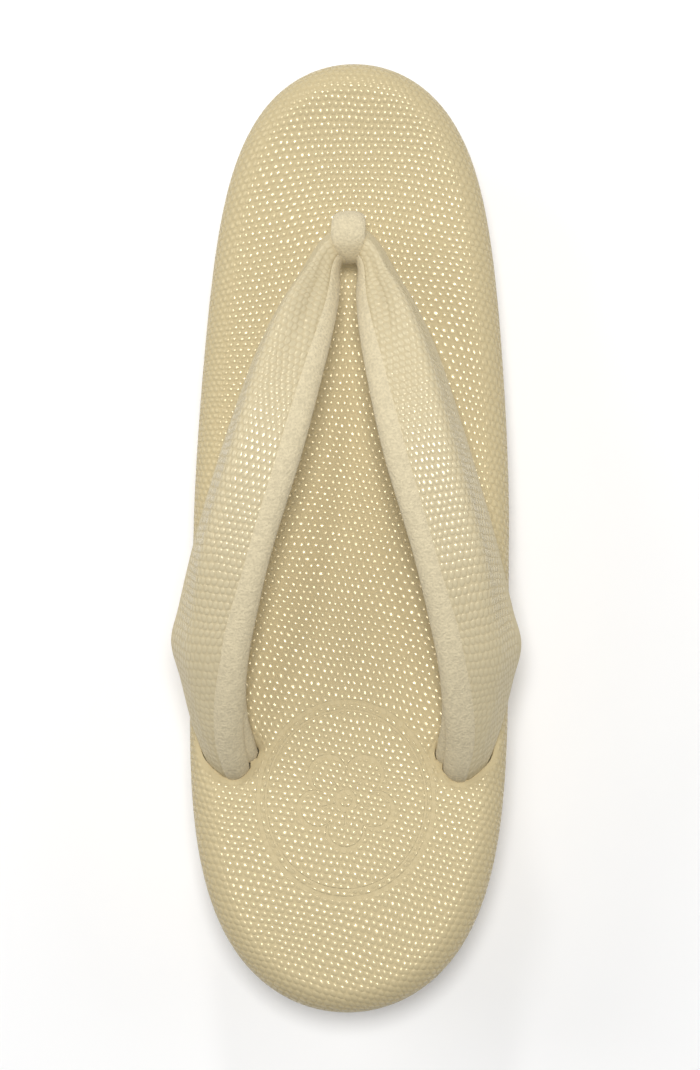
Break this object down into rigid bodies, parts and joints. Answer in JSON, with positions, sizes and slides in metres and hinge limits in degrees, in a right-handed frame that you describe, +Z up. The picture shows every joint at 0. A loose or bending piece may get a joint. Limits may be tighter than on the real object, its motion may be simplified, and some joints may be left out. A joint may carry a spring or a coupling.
{
  "type": "zori sandal",
  "caption": "Woman's zori sandal: oval wedge sole with a padded pearl leather footbed, a padded thong strap in the same leather with a suede lining, and a suede toe loop.",
  "frame": {"origin": "on the floor, under the middle of the sandal's bounding box", "axes": "+Y from the toe to the heel, along the sandal's length; +Z up from the floor; +X is the sandal's left as seen by its wearer, and the plane X = 0 is its plane of symmetry"},
  "size_m": [0.0792, 0.225, 0.0733],
  "materials": {
    "rubber_outsole": "matte",
    "sole_foam": "matte",
    "pearl_leather": "satin",
    "strap_leather": "satin",
    "suede": "matte"
  },
  "bodies": {
    "root": {"outsole": "rubber_outsole", "wedge_sole": "sole_foam", "footbed": "pearl_leather", "thong_strap": "strap_leather", "toe_loop": "suede"}
  },
  "joints": []
}
